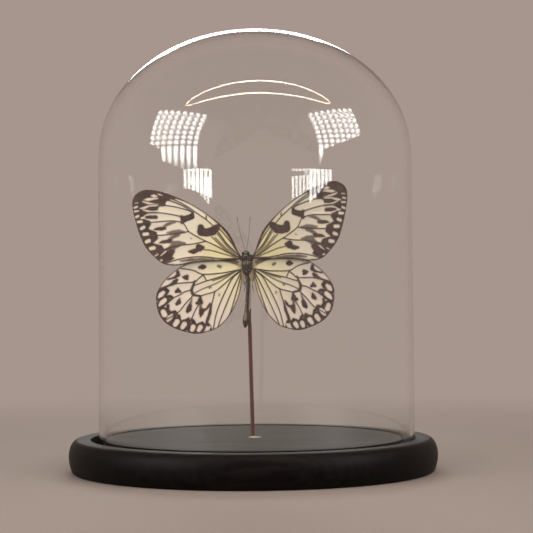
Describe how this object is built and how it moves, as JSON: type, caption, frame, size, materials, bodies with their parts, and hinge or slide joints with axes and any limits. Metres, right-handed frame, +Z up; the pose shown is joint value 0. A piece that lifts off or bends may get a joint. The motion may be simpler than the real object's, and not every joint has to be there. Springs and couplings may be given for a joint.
{
  "type": "butterfly in glass dome",
  "caption": "Mounted cream and black butterfly on a thin rod under a clear glass dome on a round stained wood base.",
  "frame": {"origin": "middle of the base's underside", "axes": "+Z up, out of the dome's crown; the specimen shows its back and spread wings to -Y, with its head up"},
  "size_m": [0.2, 0.2, 0.239],
  "materials": {
    "stained_wood": "turned wood, black-brown stain under satin lacquer",
    "clear_glass": "clear blown glass, faint green at its ground rim",
    "rod_wood": "red-brown stained wood, satin",
    "dried_glue": "dried clear glue, slightly cloudy",
    "pin_steel": "dull steel wire",
    "body_black": "black scales and hair with pale dots",
    "body_brown": "grey-brown scales, darker along the back",
    "forewing_cream": "thin scaled membrane, cream-yellow with dark veins, wedges and spots",
    "hindwing_cream": "thin scaled membrane, pale greyish cream with dark veins, spots and margin"
  },
  "bodies": {
    "root": {"base": "stained_wood", "glass_dome": "clear_glass", "rod": "rod_wood", "glue_bead": "dried_glue", "mounting_pin": "pin_steel", "thorax": "body_black", "head": "body_black", "abdomen": "body_brown", "forewing_left": "forewing_cream", "forewing_right": "forewing_cream", "hindwing_left": "hindwing_cream", "hindwing_right": "hindwing_cream", "antenna_left": "body_black", "antenna_right": "body_black", "leg_mid_left": "body_black", "leg_mid_right": "body_black", "leg_hind_left": "body_black", "leg_hind_right": "body_black"}
  },
  "joints": []
}
